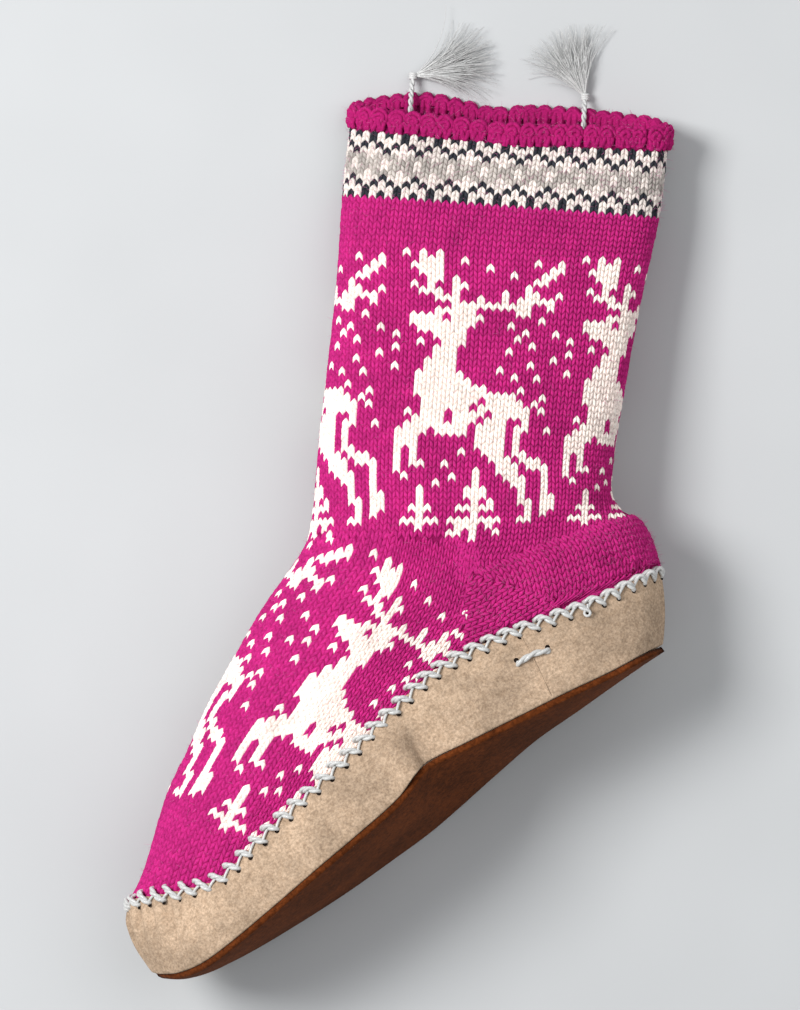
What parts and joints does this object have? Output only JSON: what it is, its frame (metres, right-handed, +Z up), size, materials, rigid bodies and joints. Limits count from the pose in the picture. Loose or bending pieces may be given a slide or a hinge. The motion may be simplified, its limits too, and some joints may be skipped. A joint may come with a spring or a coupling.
{
  "type": "wool slipper",
  "caption": "Knitted wool slipper with a slack shaft and a suede sole sewn on, lying on its side; the foot goes in through the collar.",
  "frame": {"origin": "on the floor, under the middle of the whole as it lies on its side", "axes": "+X from the toe towards the back of the collar, +Y from the sole towards the collar, +Z up, out of the near side, which is the arch side"},
  "size_m": [0.3698, 0.2576, 0.0785],
  "materials": {
    "wool": "stranded wool knit with a soft nap",
    "side_suede": "napped suede",
    "sole_suede": "rough suede",
    "felt": "wool felt",
    "thread": "frayed satin thread"
  },
  "bodies": {
    "root": {"upper": "wool", "side_wall": "side_suede", "outsole": "sole_suede", "insole": "felt", "front_tuft": "thread", "back_tuft": "thread"}
  },
  "joints": []
}
